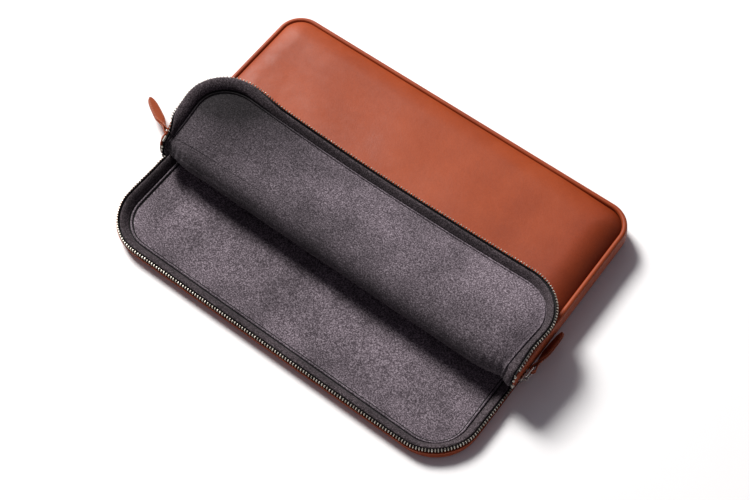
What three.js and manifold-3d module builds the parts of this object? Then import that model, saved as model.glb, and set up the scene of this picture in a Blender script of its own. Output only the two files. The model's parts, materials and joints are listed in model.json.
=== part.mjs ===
// Laptop sleeve with a three-sided zip, lying on its back with the mouth flap folded open.
// Millimetres, +Z up. X runs along the long side, Y from the open edge (-Y) to the closed edge (+Y).
// The origin is on the underside, at the middle of the back panel.
import * as THREE from 'three';
import Module from 'manifold-3d';
import { mergeVertices } from 'three/addons/utils/BufferGeometryUtils.js';

// ---- Driving dimensions -------------------------------------------------------------------
// The rim line is the widest outline of the side wall, half way up. Offsets are measured
// outwards from it, so every inset below is negative.
const RIM = { halfWidth: 166.5, far: 126, near: -122.5, farRadius: 22, nearRadius: 38 };
const ARC_STEPS = 8;                      // steps in each rounded corner
const GAP = 0.3;                          // clearance between touching curved or turned pieces

const ZIP_Z = 11.4;                       // height of the plane where the two chains meet
const LEATHER = 1.4;
const FOAM = 2.0;
const LINING = 0.6;
const TOTAL_HEIGHT = 2 * ZIP_Z;           // closed, over the front panel's leather
const PANEL_INSET = -4.7;
const FOAM_INSET = -6.5;
const LINING_INSET = -6.0;
const WALL = 1.3;                         // side wall leather
const WALL_LINING = 0.8;
const SIDE_WALL_START = -22;              // the plain side walls end here, where the zip begins

const FOLD = { start: -36, radius: 5, angle: 93.4 };  // half of the fold, degrees; two halves in all
const SLIDER = { y: -30, halfLength: 4.5, halfHeight: 3.9, plate: 1.0, channel: 3.8 };
const CHAIN = { inset: -1.5, halfThickness: 1.4, height: 1.4, split: 0.3 };
const BRIDGE = { weld: 0.5, wedge: 0.15, wedgeLength: 2.5, foot: 1.2, strap: 0.9, strapHeight: 1.5 };
const STOP = { length: 2, height: 3.4 };
const LINK = { pitch: 9, bar: 1.4, halfHeight: 5.7, pivot: 4.05 };
const TAB = { length: 38, thickness: 3, height: 8, loopRadius: 2.3, holeRadius: 1.3 };
const PULL_ANGLE = { left: 63, right: 2 };            // degrees from the +Y direction, outwards

const COLOURS = {
  leather: [0xb4603c, 0.55, 0],
  foam: [0x8a8a8a, 0.9, 0],
  lining: [0x4c464c, 0.95, 0],
  tape: [0x17151a, 0.9, 0],
  metal: [0xb3a78f, 0.3, 1],
};

const rad = THREE.MathUtils.degToRad;
const wasm = await Module();
wasm.setup();

// ---- Outline paths ------------------------------------------------------------------------
// A path is a list of points on the rim line, each with its outward normal.
function corner(signX, signY, centreX, centreY, radius, from) {
  const points = [];
  for (let i = 0; i <= ARC_STEPS; i++) {
    const angle = rad(from + (90 * i) / ARC_STEPS);
    const nx = Math.cos(angle);
    const ny = Math.sin(angle);
    points.push({ x: signX * centreX + radius * nx, y: signY * centreY + radius * ny, nx, ny });
  }
  return points;
}

function farCorners() {
  const r = RIM.farRadius;
  return [
    ...corner(1, 1, RIM.halfWidth - r, RIM.far - r, r, 0),
    ...corner(-1, 1, RIM.halfWidth - r, RIM.far - r, r, 90),
  ];
}

function nearCorners() {
  const r = RIM.nearRadius;
  return [
    ...corner(-1, -1, RIM.halfWidth - r, -RIM.near - r, r, 180),
    ...corner(1, -1, RIM.halfWidth - r, -RIM.near - r, r, 270),
  ];
}

const sidePoint = (sign, y) => ({ x: sign * RIM.halfWidth, y, nx: sign, ny: 0 });
const farPath = (yEnd) => [sidePoint(1, yEnd), ...farCorners(), sidePoint(-1, yEnd)];
const nearPath = (yEnd) => [sidePoint(-1, yEnd), ...nearCorners(), sidePoint(1, yEnd)];
const fullPath = () => [...farCorners(), ...nearCorners()];

// ---- Solids -------------------------------------------------------------------------------
function fromArrays(positions, indices) {
  const geometry = new THREE.BufferGeometry();
  geometry.setAttribute('position', new THREE.Float32BufferAttribute(positions, 3));
  geometry.setIndex(indices);
  geometry.computeVertexNormals();
  return geometry;
}

// Carries a closed section, given as [offset, z] points in anticlockwise order when offset runs
// right and z up, along a path. An open path gets flat end caps; a closed one has none.
function sweep(path, section, closed = false) {
  const positions = [];
  for (const p of path) {
    for (const [offset, z] of section) {
      positions.push(p.x + p.nx * offset, p.y + p.ny * offset, z);
    }
  }
  const size = section.length;
  const indices = [];
  const spans = closed ? path.length : path.length - 1;
  for (let i = 0; i < spans; i++) {
    const a = i * size;
    const b = ((i + 1) % path.length) * size;
    for (let j = 0; j < size; j++) {
      const k = (j + 1) % size;
      indices.push(a + j, b + j, b + k, a + j, b + k, a + k);
    }
  }
  if (!closed) {
    const contour = section.map(([offset, z]) => new THREE.Vector2(offset, z));
    const last = (path.length - 1) * size;
    for (const [i, j, k] of THREE.ShapeUtils.triangulateShape(contour, [])) {
      indices.push(i, j, k, last + k, last + j, last + i);
    }
  }
  return fromArrays(positions, indices);
}

// A flat sheet whose outline is a path moved by an inset.
function sheet(path, inset, bottom, thickness) {
  const outline = path.map((p) => new THREE.Vector2(p.x + p.nx * inset, p.y + p.ny * inset));
  const geometry = new THREE.ExtrudeGeometry(new THREE.Shape(outline), {
    depth: thickness, bevelEnabled: false,
  });
  return geometry.translate(0, 0, bottom);
}

function box(x0, x1, y0, y1, z0, z1) {
  const geometry = new THREE.BoxGeometry(x1 - x0, y1 - y0, z1 - z0);
  return geometry.translate((x0 + x1) / 2, (y0 + y1) / 2, (z0 + z1) / 2);
}

function toManifold(geometry) {
  const bare = geometry.clone();
  bare.deleteAttribute('normal');
  bare.deleteAttribute('uv');
  const merged = mergeVertices(bare);
  return new wasm.Manifold(new wasm.Mesh({
    numProp: 3,
    vertProperties: new Float32Array(merged.attributes.position.array),
    triVerts: new Uint32Array(merged.index.array),
  }));
}

function fromManifold(solid) {
  const { vertProperties, triVerts } = solid.getMesh();
  return fromArrays(Array.from(vertProperties), Array.from(triVerts));
}

const joined = (geometries) => {
  return fromManifold(geometries.map(toManifold).reduce((whole, next) => whole.add(next)));
};

// ---- Side wall sections -------------------------------------------------------------------
// The wall bows outwards: its outer face is on the rim line at ZIP_Z and turns in towards both
// panels. One parabola gives the face's offset at a height.
const BOW = 2.6;                           // how far the wall turns in at its sewn edges
const WALL_EDGE = 2.8;                     // height of the lower sewn edge
const bow = (z) => -BOW * ((ZIP_Z - z) / (ZIP_Z - WALL_EDGE)) ** 2;

function wallSection(heights, inset, thickness) {
  const outer = heights.map((z) => [bow(z) + inset, z]);
  const inner = heights.map((z) => [bow(z) + inset - thickness, z]).reverse();
  return [...outer, ...inner];
}

const mirrorSection = (section) => section.map(([o, z]) => [o, 2 * ZIP_Z - z]).reverse();

// A round section with eight flats, for the piped seams.
function roundSection(offset, z, radius) {
  const points = [];
  for (let i = 0; i < 8; i++) {
    const angle = rad(22.5 + 45 * i);
    points.push([offset + radius * Math.cos(angle), z + radius * Math.sin(angle)]);
  }
  return points;
}

const boxSection = (o0, o1, z0, z1) => [[o0, z0], [o1, z0], [o1, z1], [o0, z1]];

const PANEL = LEATHER + FOAM + LINING;     // thickness of a whole panel
const HALF_WALL_TOP = 7.2;                 // leather and lining of a half wall stop here
const TAPE_TOP = 9.4;                      // the tape runs on to just under the chain
const LOWER = {
  wall: wallSection([WALL_EDGE, 5.0, HALF_WALL_TOP], 0, WALL),
  tape: [[-3.8, 3.6], [-1.6, TAPE_TOP], [-2.2, TAPE_TOP], [-4.4, 3.6]],
  roll: [
    [-4.9, 4.3], [-3.9, 6.6], [-4.6, HALF_WALL_TOP],
    [-6.4, HALF_WALL_TOP], [-7.5, 6.2], [-7.7, 4.3],
  ],
  chain: boxSection(
    CHAIN.inset - CHAIN.halfThickness, CHAIN.inset + CHAIN.halfThickness,
    ZIP_Z - CHAIN.split - CHAIN.height, ZIP_Z - CHAIN.split,
  ),
  welt: roundSection(-3.4, 1.5, 0.95),
  binding: boxSection(-10.4, -8.0, PANEL + GAP, PANEL + 1.1),
};
const UPPER = Object.fromEntries(
  Object.entries(LOWER).map(([name, section]) => [name, mirrorSection(section)]),
);

// ---- Node list ----------------------------------------------------------------------------
function node(name, geometry, look) {
  const [colour, roughness, metalness] = COLOURS[look];
  const material = new THREE.MeshStandardMaterial({ color: colour, roughness, metalness });
  const mesh = new THREE.Mesh(geometry, material);
  mesh.name = name;
  return mesh;
}

// ---- Sleeve: back, closed end and the lower half of the mouth --------------------------------
function backPanel() {
  const path = fullPath();
  return [
    node('back_panel_leather', sheet(path, PANEL_INSET, 0, LEATHER), 'leather'),
    node('back_panel_foam', sheet(path, FOAM_INSET, LEATHER, FOAM), 'foam'),
    node('back_panel_lining', sheet(path, LINING_INSET, LEATHER + FOAM, LINING), 'lining'),
    node('back_welt', sweep(path, LOWER.welt, true), 'leather'),
    node('back_seam_binding', sweep(path, LOWER.binding, true), 'tape'),
  ];
}

function frontPanel() {
  const path = farPath(FOLD.start);
  const leatherBottom = TOTAL_HEIGHT - LEATHER;
  return [
    node('front_panel_leather', sheet(path, PANEL_INSET, leatherBottom, LEATHER), 'leather'),
    node('front_panel_foam', sheet(path, FOAM_INSET, leatherBottom - FOAM, FOAM), 'foam'),
    node('front_panel_lining',
      sheet(path, LINING_INSET, leatherBottom - FOAM - LINING, LINING), 'lining'),
    node('front_welt', sweep(path, UPPER.welt), 'leather'),
    node('front_seam_binding', sweep(farPath(SIDE_WALL_START), UPPER.binding), 'tape'),
  ];
}

// Five heights from a lower edge to the matching upper edge.
function evenHeights(lowest) {
  return [0, 1, 2, 3, 4].map((i) => lowest + ((ZIP_Z - lowest) * i) / 2);
}

function closedEndWall() {
  const path = farPath(SIDE_WALL_START);
  const leatherHeights = evenHeights(WALL_EDGE);
  const liningHeights = evenHeights(PANEL + GAP);
  const lining = wallSection(liningHeights, -WALL - GAP, WALL_LINING);
  return [
    node('closed_wall_leather', sweep(path, wallSection(leatherHeights, 0, WALL)), 'leather'),
    node('closed_wall_lining', sweep(path, lining), 'lining'),
  ];
}

function lowerMouth() {
  const path = nearPath(SIDE_WALL_START - GAP);
  const chainEnd = SLIDER.y + SLIDER.halfLength;
  return [
    node('mouth_wall_leather', sweep(path, LOWER.wall), 'leather'),
    node('mouth_wall_lining', sweep(path, LOWER.roll), 'lining'),
    node('mouth_zip_tape', sweep(path, LOWER.tape), 'tape'),
    node('mouth_zip_chain', sweep(nearPath(chainEnd), LOWER.chain), 'metal'),
  ];
}

// A square clamp on both chains, just behind where the slider stops.
function endStop(name, sign) {
  const side = 2 * CHAIN.halfThickness;
  const mesh = node(name, new THREE.BoxGeometry(side, STOP.length, STOP.height), 'metal');
  const y = SLIDER.y + SLIDER.halfLength + GAP + STOP.length / 2;
  mesh.position.set(sign * (RIM.halfWidth + CHAIN.inset), y, ZIP_Z);
  return mesh;
}

// ---- Fold: the strip of front panel that rolls over when the mouth is open --------------------
// The fold has two hinge lines, each turning by FOLD.angle. A hinge sits a little off the
// leather's middle plane, so that the strip keeps its length when it is laid flat.
const HALF_TURN = rad(FOLD.angle);
const HALF_LENGTH = FOLD.radius * HALF_TURN;
const NEUTRAL_Z = TOTAL_HEIGHT - LEATHER / 2;
const HINGE_Z = NEUTRAL_Z + FOLD.radius - HALF_LENGTH / 2 / Math.tan(HALF_TURN / 2);
const LOWER_HINGE_Y = FOLD.start - HALF_LENGTH / 2;
const UPPER_HINGE_Y = LOWER_HINGE_Y - HALF_LENGTH;      // with the flap closed
const FLAP_START = FOLD.start - 2 * HALF_LENGTH;        // with the flap closed
const FOLD_TRIM = 30;                                   // degrees left free at each end of the fold

// An arc band about the fold's axis, swept along X, with the mouth open.
function foldBand(innerRadius, outerRadius, halfWidth) {
  const from = rad(-90 - FOLD_TRIM);
  const to = rad(-90 - 2 * FOLD.angle + FOLD_TRIM);
  const shape = new THREE.Shape();
  shape.absarc(0, 0, outerRadius, from, to, true);
  shape.absarc(0, 0, innerRadius, to, from, false);
  const band = new THREE.ExtrudeGeometry(shape, {
    depth: 2 * halfWidth, bevelEnabled: false, curveSegments: 10,
  });
  // The shape's own axes are Y and Z of the sleeve, and its depth is X.
  band.applyMatrix4(new THREE.Matrix4().set(0, 0, 1, -halfWidth, 1, 0, 0, 0, 0, 1, 0, 0, 0, 0, 0, 1));
  return band.translate(0, FOLD.start, NEUTRAL_Z + FOLD.radius);
}

function foldStrip() {
  const r = FOLD.radius;
  const half = LEATHER / 2;
  const foamOuter = r + half + FOAM;
  const width = RIM.halfWidth;
  return [
    node('fold_leather', foldBand(r - half, r + half, width + PANEL_INSET), 'leather'),
    node('fold_foam', foldBand(r + half + GAP, foamOuter, width + FOAM_INSET), 'foam'),
    node('fold_lining', foldBand(foamOuter + GAP, foamOuter + GAP + LINING, width + LINING_INSET), 'lining'),
  ];
}

// ---- Flap: built closed, then folded back over the panel by the two hinge turns ----------------
function flapPieces() {
  const path = nearPath(FLAP_START);
  const leatherBottom = TOTAL_HEIGHT - LEATHER;
  const foamBottom = leatherBottom - FOAM;
  return [
    node('flap_leather', sheet(path, PANEL_INSET, leatherBottom, LEATHER), 'leather'),
    node('flap_foam', sheet(path, FOAM_INSET, foamBottom, FOAM - GAP), 'foam'),
    node('flap_lining', sheet(path, LINING_INSET, foamBottom - LINING, LINING - GAP), 'lining'),
    node('flap_welt', sweep(path, UPPER.welt), 'leather'),
    node('flap_seam_binding', sweep(path, UPPER.binding), 'tape'),
    node('flap_wall_leather', sweep(path, UPPER.wall), 'leather'),
    node('flap_wall_lining', sweep(path, UPPER.roll), 'lining'),
    node('flap_zip_tape', sweep(path, UPPER.tape), 'tape'),
    node('flap_zip_chain', sweep(path, UPPER.chain), 'metal'),
  ];
}

function turnedAbout(y, z, turn, children) {
  const pivot = new THREE.Group();
  pivot.position.set(0, y, z);
  pivot.rotation.x = turn;
  const inner = new THREE.Group();
  inner.position.set(0, -y, -z);
  inner.add(...children);
  pivot.add(inner);
  return pivot;
}

function foldedFlap() {
  const upper = turnedAbout(UPPER_HINGE_Y, HINGE_Z, -HALF_TURN, flapPieces());
  return turnedAbout(LOWER_HINGE_Y, HINGE_Z, -HALF_TURN, [upper]);
}

// ---- Sliders and pulls ----------------------------------------------------------------------
// The slider's plates are joined by a thin wedge at the open end, and its bridge, a strap on two
// feet, holds the link. Parts run into each other by the weld length.

// Each is built for the right side with the chain's middle at the origin, +X outwards.
function sliderSolid() {
  const inner = SLIDER.channel / 2;
  const outer = inner + SLIDER.plate;
  const { halfLength: l, halfHeight: h } = SLIDER;
  const { weld, wedge, wedgeLength, foot, strap, strapHeight: s } = BRIDGE;
  const crown = LINK.pivot + foot;
  return joined([
    box(inner, outer, -l, l, -h, h),
    box(-outer, -inner, -l, l, -h, h),
    box(-inner - weld, inner + weld, -l, -l + wedgeLength, -wedge, wedge),
    box(outer - weld, crown + strap, foot, foot + strap, -s, s),
    box(outer - weld, crown + strap, -foot - strap, -foot, -s, s),
    box(crown, crown + strap, -foot - strap, foot + strap, -s, s),
  ]);
}

// A rectangular ring: one bar under the slider's bridge, the other in the leather loop.
function linkSolid() {
  const half = LINK.bar / 2;
  const h = LINK.halfHeight;
  return joined([
    box(-half, half, -half, half, -h, h),
    box(-half, half, LINK.pitch - half, LINK.pitch + half, -h, h),
    box(-half, half, -half, LINK.pitch + half, h - LINK.bar, h),
    box(-half, half, -half, LINK.pitch + half, -h, -h + LINK.bar),
  ]);
}

// Points of a circular arc in plan, both ends included.
function arcPoints(x, y, radius, from, to, steps) {
  const points = [];
  for (let i = 0; i <= steps; i++) {
    const angle = rad(from + ((to - from) * i) / steps);
    points.push(new THREE.Vector2(x + radius * Math.cos(angle), y + radius * Math.sin(angle)));
  }
  return points;
}

// A leather strap folded round the link's outer bar, seen from above as a loop and a long tongue.
function tabSolid() {
  const { length, thickness, height, loopRadius, holeRadius } = TAB;
  const half = thickness / 2;
  const neck = 2 * loopRadius;
  const shape = new THREE.Shape([
    ...arcPoints(0, 0, loopRadius, 180, 360, 12),
    new THREE.Vector2(half, neck),
    ...arcPoints(0, length - half, half, 0, 180, 6),
    new THREE.Vector2(-half, neck),
  ]);
  shape.holes.push(new THREE.Path(arcPoints(0, 0, holeRadius, 360, 30, 11)));
  const solid = new THREE.ExtrudeGeometry(shape, { depth: height, bevelEnabled: false });
  return solid.translate(0, 0, -height / 2);
}

function zipPull(side, sign) {
  const tab = node(`pull_tab_${side}`, tabSolid(), 'leather');
  tab.position.y = LINK.pitch;
  const link = new THREE.Group();
  link.add(node(`pull_link_${side}`, linkSolid(), 'metal'), tab);
  link.position.x = sign * LINK.pivot;
  link.rotation.z = -sign * rad(PULL_ANGLE[side]);
  const body = node(`slider_${side}`, sliderSolid(), 'metal');
  body.rotation.y = sign < 0 ? Math.PI : 0;
  const slider = new THREE.Group();
  slider.add(body, link);
  slider.position.set(sign * (RIM.halfWidth + CHAIN.inset), SLIDER.y, ZIP_Z);
  return slider;
}

// ---- Whole sleeve ---------------------------------------------------------------------------
const group = new THREE.Group();
group.add(...backPanel(), ...frontPanel(), ...closedEndWall(), ...lowerMouth());
group.add(endStop('zip_stop_left', -1), endStop('zip_stop_right', 1));
group.add(...foldStrip(), foldedFlap());
group.add(zipPull('left', -1), zipPull('right', 1));

export default group;
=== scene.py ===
"""Looks of a leather laptop sleeve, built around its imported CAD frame.

The sleeve lies on its back with its three-sided zip undone and the mouth flap folded back.
Soft pieces are drawn with the flap closed, in millimetres, and then folded back into place.
"""
import json
import math

import bpy
import numpy as np
from mathutils import Matrix, Vector


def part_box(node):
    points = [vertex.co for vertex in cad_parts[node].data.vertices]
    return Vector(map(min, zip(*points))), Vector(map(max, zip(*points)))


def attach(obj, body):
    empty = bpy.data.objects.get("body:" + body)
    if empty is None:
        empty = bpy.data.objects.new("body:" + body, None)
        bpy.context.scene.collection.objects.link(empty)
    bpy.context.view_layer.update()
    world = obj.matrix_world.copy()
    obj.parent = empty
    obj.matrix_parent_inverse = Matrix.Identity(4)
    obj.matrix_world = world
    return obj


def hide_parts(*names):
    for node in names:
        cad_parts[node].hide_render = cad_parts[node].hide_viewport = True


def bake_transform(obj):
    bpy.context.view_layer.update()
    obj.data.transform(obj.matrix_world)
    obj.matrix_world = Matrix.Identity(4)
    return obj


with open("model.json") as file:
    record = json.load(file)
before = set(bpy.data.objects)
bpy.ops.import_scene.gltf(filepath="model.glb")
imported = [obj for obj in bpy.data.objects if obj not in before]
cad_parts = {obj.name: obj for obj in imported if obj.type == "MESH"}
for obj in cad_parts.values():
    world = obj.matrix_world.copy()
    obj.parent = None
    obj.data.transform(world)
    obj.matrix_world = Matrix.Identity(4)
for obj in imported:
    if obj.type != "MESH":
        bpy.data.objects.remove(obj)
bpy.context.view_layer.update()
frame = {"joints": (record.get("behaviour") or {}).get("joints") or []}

MM = 0.001
RNG = np.random.default_rng(7)


# ---- Dimensions from the frame, in millimetres ---------------
def low(node):
    return [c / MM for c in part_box(node)[0]]


def high(node):
    return [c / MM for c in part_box(node)[1]]


JOINTS = {j["name"]: j for j in frame["joints"]}
RIM_X = high("closed_wall_leather")[0]          # the rim line is the widest outline of the walls
RIM_FAR = high("closed_wall_leather")[1]
RIM_NEAR = low("mouth_zip_chain")[1] - 0.1
FAR_RADIUS = 22.0
NEAR_RADIUS = 38.0
TOP = high("front_panel_leather")[2]            # closed height over the front leather
ZIP_Z = TOP / 2
WALL_START = low("closed_wall_leather")[1]      # the zip begins here on both sides
FOLD_START = low("front_panel_leather")[1]
FOLD_RADIUS = 5.0
FOLD_ANGLE = math.radians(JOINTS["fold_lower"]["range_deg"][1])
HALF_FOLD = FOLD_RADIUS * FOLD_ANGLE            # length of leather in each half of the fold
FLAP_START = FOLD_START - 2 * HALF_FOLD
UPPER_HINGE = [c / MM for c in JOINTS["fold_upper"]["pos_m"][1:]]
LEATHER = 1.4
LINING = 0.6
NEUTRAL = TOP - LEATHER / 2                     # middle of the front leather
SLIDER_Y = (low("slider_left")[1] + high("slider_left")[1]) / 2
CHAIN_X = (low("zip_stop_right")[0] + high("zip_stop_right")[0]) / 2
PANEL_INSET = 4.7
LINING_INSET = 6.0
FOAM_INSET = 6.5
SEAM_DEPTH = 13.0                               # the linings' pads begin inside the seam ridge
FRONT_SEAM_DEPTH = 10.8
TOOTH_PITCH = 2.4
WALL = 1.3
WALL_ROOT = 3.0                                 # height where a wall leaves its seam
PATH_STEP = 1.5                                 # between the rings of a swept band
FINE_STEP = 0.8                                 # the same where it folds or carries teeth
SIDES = (("left", -1), ("right", 1))


# ---- Material building blocks --------------------------------
def new_material(name):
    """A material with its nodes, links and shader, and its object's own coordinates."""
    material = bpy.data.materials.new(name)
    material.use_nodes = True
    nodes = material.node_tree.nodes
    coords = nodes.new("ShaderNodeTexCoord").outputs["Object"]
    return material, nodes, material.node_tree.links, nodes["Principled BSDF"], coords


def noise_node(nodes, links, coords, scale, detail, roughness=0.55):
    node = nodes.new("ShaderNodeTexNoise")
    node.inputs["Scale"].default_value = scale
    node.inputs["Detail"].default_value = detail
    node.inputs["Roughness"].default_value = roughness
    links.new(coords, node.inputs["Vector"])
    return node.outputs["Fac"]


def span_node(nodes, links, coords, axis, start, end):
    """Rises from 0 to 1 between two places along an axis, in metres."""
    split = nodes.new("ShaderNodeSeparateXYZ")
    links.new(coords, split.inputs["Vector"])
    node = nodes.new("ShaderNodeMapRange")
    node.inputs["From Min"].default_value = start
    node.inputs["From Max"].default_value = end
    links.new(split.outputs[axis], node.inputs["Value"])
    return node.outputs["Result"]


def ramp_node(nodes, links, value, stops):
    node = nodes.new("ShaderNodeValToRGB")
    elements = node.color_ramp.elements
    while len(elements) < len(stops):
        elements.new(0.5)
    for element, (place, colour) in zip(elements, stops):
        element.position = place
        element.color = (*colour, 1)
    links.new(value, node.inputs["Fac"])
    return node.outputs["Color"]


def grey(v):
    return (v, v, v)


def multiply(nodes, links, first, second, share=1.0):
    """The first colour darkened by the second, or by a share of it."""
    node = nodes.new("ShaderNodeMix")
    node.data_type = "RGBA"
    node.blend_type = "MULTIPLY"
    node.inputs["Factor"].default_value = share
    links.new(first, node.inputs[6])
    links.new(second, node.inputs[7])
    return node.outputs[2]


def bump_node(nodes, links, height, strength, distance, normal=None):
    node = nodes.new("ShaderNodeBump")
    node.inputs["Strength"].default_value = strength
    node.inputs["Distance"].default_value = distance
    links.new(height, node.inputs["Height"])
    if normal is not None:
        links.new(normal, node.inputs["Normal"])
    return node.outputs["Normal"]


def leather_material(name, dark, mid, light, roughness=0.5, painted_end_shade=False):
    """Smooth leather: cloudy colour, a fine pebbled grain and soft pull-up marks. With painted end
    shade, the colour darkens towards the right end of the sleeve: painted shade where the padding
    slopes away from the light and the flap casts its shadow."""
    material, nodes, links, shader, coords = new_material(name)
    cloud = noise_node(nodes, links, coords, 16, 5, 0.6)
    base = ramp_node(nodes, links, cloud, [(0.3, dark), (0.52, mid), (0.72, light)])
    fleck = noise_node(nodes, links, coords, 900, 2, 0.6)
    fleck = ramp_node(nodes, links, fleck, [(0.3, grey(0.78)), (0.62, grey(1.0))])
    colour = multiply(nodes, links, base, fleck, 0.55)
    # Painted shade: the right end of the front leather is coloured darker where the padding slopes
    # away from the light and the flap casts its shadow.
    if painted_end_shade:
        share = nodes.new("ShaderNodeMath")
        share.operation = "MULTIPLY"
        links.new(span_node(nodes, links, coords, "X", 0.108, 0.162), share.inputs[0])
        links.new(span_node(nodes, links, coords, "Y", -0.030, 0.020), share.inputs[1])
        stops = [(0.0, grey(1.0)), (0.55, (0.82, 0.72, 0.64)), (1.0, (0.36, 0.27, 0.22))]
        end_shade_colour = ramp_node(nodes, links, share.outputs["Value"], stops)
        colour = multiply(nodes, links, colour, end_shade_colour)
    links.new(colour, shader.inputs["Base Color"])
    cells = nodes.new("ShaderNodeTexVoronoi")
    cells.feature = "DISTANCE_TO_EDGE"
    cells.inputs["Scale"].default_value = 1000
    links.new(coords, cells.inputs["Vector"])
    grain = ramp_node(nodes, links, cells.outputs["Distance"], [(0.0, grey(0)), (0.22, grey(1))])
    soft = noise_node(nodes, links, coords, 160, 4, 0.6)
    fine = bump_node(nodes, links, grain, 0.22, 0.00014)
    links.new(bump_node(nodes, links, soft, 0.20, 0.0006, fine), shader.inputs["Normal"])
    patch = noise_node(nodes, links, coords, 60, 4, 0.6)
    rough = ramp_node(nodes, links, patch,
                      [(0.3, grey(roughness - 0.05)), (0.7, grey(roughness + 0.09))])
    links.new(rough, shader.inputs["Roughness"])
    shader.inputs["Specular IOR Level"].default_value = 0.24
    return material


def painted_corner_and_fold_shade(nodes, links, coords, brush_mottle_and_painted_shade):
    """Painted shade: darkens the colour round the flap's far left corner, where its raised wall
    casts a shadow and the lining turns from the light, and over the fold, where the lining curls
    away from the light.
    """
    corner = nodes.new("ShaderNodeMapping")
    corner.vector_type = "POINT"
    corner.inputs["Location"].default_value = (1.34, -0.29, 0)
    corner.inputs["Scale"].default_value = (8.5, 13.0, 0)
    links.new(coords, corner.inputs["Vector"])
    reach = nodes.new("ShaderNodeVectorMath")
    reach.operation = "LENGTH"
    links.new(corner.outputs["Vector"], reach.inputs[0])
    dark = ramp_node(nodes, links, reach.outputs["Value"],
                     [(0.0, grey(0.04)), (0.35, grey(0.12)), (0.65, grey(0.52)), (1.0, grey(1.0))])
    over_fold = span_node(nodes, links, coords, "Y", -0.052, -0.004)
    front = ramp_node(nodes, links, over_fold,
                      [(0.0, grey(0.24)), (0.5, grey(0.70)), (1.0, grey(1.0))])
    shade = multiply(nodes, links, dark, front)
    return multiply(nodes, links, brush_mottle_and_painted_shade, shade)


def suede_material(name, dark, mid, light, speck_scale=1000, sheen=0.06, with_painted_shade=False):
    """Microsuede: a short nap that reads as light specks on charcoal, with patches of lighter and
    darker nap. The copy with painted shade is also darker round the flap's far left corner and over
    the fold.
    """
    material, nodes, links, shader, coords = new_material(name)
    specks = noise_node(nodes, links, coords, speck_scale, 3, 0.75)
    base = ramp_node(nodes, links, specks, [(0.36, dark), (0.5, mid), (0.66, light)])
    brush_mottle_and_painted_shade = noise_node(nodes, links, coords, 17, 5, 0.62)
    brush_mottle_and_painted_shade = ramp_node(nodes, links, brush_mottle_and_painted_shade, [(0.36, grey(0.6)), (0.6, grey(1.1))])
    # Painted shade round the flap's far left corner and over the fold.
    if with_painted_shade:
        brush_mottle_and_painted_shade = painted_corner_and_fold_shade(nodes, links, coords, brush_mottle_and_painted_shade)
    colour = multiply(nodes, links, base, brush_mottle_and_painted_shade)
    links.new(colour, shader.inputs["Base Color"])
    links.new(bump_node(nodes, links, specks, 0.6, 0.0005), shader.inputs["Normal"])
    links.new(ramp_node(nodes, links, specks, [(0.3, grey(0.98)), (0.7, grey(0.82))]),
              shader.inputs["Roughness"])
    shader.inputs["Specular IOR Level"].default_value = 0.25
    shader.inputs["Sheen Weight"].default_value = sheen
    shader.inputs["Sheen Roughness"].default_value = 0.4
    shader.inputs["Sheen Tint"].default_value = (0.95, 0.90, 0.97, 1)
    return material


WEAVE_SCALE = 250.0


def woven_material(name, dark, light):
    """Woven tape: two crossed thread directions in colour and bump."""
    material, nodes, links, shader, coords = new_material(name)
    heights = []
    for direction in ("X", "Y"):
        wave = nodes.new("ShaderNodeTexWave")
        wave.bands_direction = direction
        wave.inputs["Scale"].default_value = WEAVE_SCALE
        wave.inputs["Distortion"].default_value = 0.6
        links.new(coords, wave.inputs["Vector"])
        heights.append(wave.outputs["Color"])
    weave = multiply(nodes, links, heights[0], heights[1], 0.5)
    links.new(ramp_node(nodes, links, weave, [(0.1, dark), (0.8, light)]),
              shader.inputs["Base Color"])
    links.new(bump_node(nodes, links, weave, 0.5, 0.0003), shader.inputs["Normal"])
    fuzz = noise_node(nodes, links, coords, 700, 3)
    links.new(ramp_node(nodes, links, fuzz, [(0.3, grey(0.75)), (0.7, grey(0.95))]),
              shader.inputs["Roughness"])
    return material


def metal_material(name, dark, light, roughness):
    """Plated metal with slight tarnish in its colour and rubbed patches in its gloss."""
    material, nodes, links, shader, coords = new_material(name)
    tarnish = noise_node(nodes, links, coords, 420, 4, 0.6)
    links.new(ramp_node(nodes, links, tarnish, [(0.35, dark), (0.62, light)]),
              shader.inputs["Base Color"])
    rubbed = noise_node(nodes, links, coords, 1400, 3, 0.6)
    rough = ramp_node(nodes, links, rubbed, [(0.3, grey(roughness)), (0.7, grey(roughness + 0.18))])
    links.new(rough, shader.inputs["Roughness"])
    links.new(bump_node(nodes, links, rubbed, 0.12, 0.0002), shader.inputs["Normal"])
    shader.inputs["Metallic"].default_value = 1.0
    return material


def thread_material(name, dark, light):
    """Twisted sewing thread."""
    material, nodes, links, shader, coords = new_material(name)
    twist = noise_node(nodes, links, coords, 2600, 2)
    links.new(ramp_node(nodes, links, twist, [(0.35, dark), (0.65, light)]),
              shader.inputs["Base Color"])
    links.new(bump_node(nodes, links, twist, 0.6, 0.0002), shader.inputs["Normal"])
    shader.inputs["Roughness"].default_value = 0.7
    return material


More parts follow.
